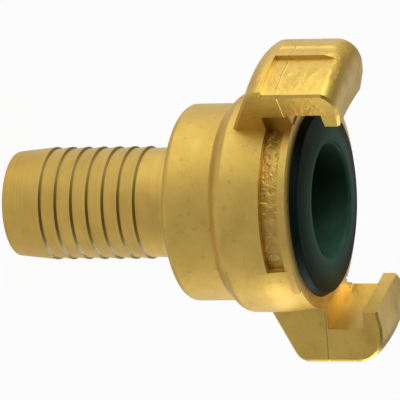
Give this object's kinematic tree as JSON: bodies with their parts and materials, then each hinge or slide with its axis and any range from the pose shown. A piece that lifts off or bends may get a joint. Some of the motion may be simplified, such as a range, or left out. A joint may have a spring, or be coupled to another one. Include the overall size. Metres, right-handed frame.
{
  "type": "quarter turn claw hose coupling",
  "caption": "Genderless two-claw quarter-turn hose coupling with a rubber face seal and a swivelling barbed hose tail.",
  "frame": {"origin": "centre of the hose tail's flat end face, on which the coupling stands", "axes": "+Z along the coupling's axis, from the hose tail's end towards the mating coupling; the two claws are centred on +X and -X"},
  "size_m": [0.0612, 0.0412, 0.0702],
  "materials": {
    "forged_brass": "blasted forging",
    "turned_brass": "turned",
    "seal_rubber": "matt",
    "washer_plastic": "matt",
    "spring_steel": "oiled"
  },
  "bodies": {
    "body": {"claw_body": "forged_brass", "face_seal": "seal_rubber", "retaining_ring": "spring_steel", "slide_washer": "washer_plastic"},
    "tail": {"hose_tail": "turned_brass", "shaft_seal_ring": "seal_rubber"}
  },
  "joints": [
    {"name": "tail_swivel", "type": "hinge", "parent": "body", "child": "tail", "pos_m": [0, 0, 0.044], "axis": [0, 0, 1], "continuous": true}
  ]
}
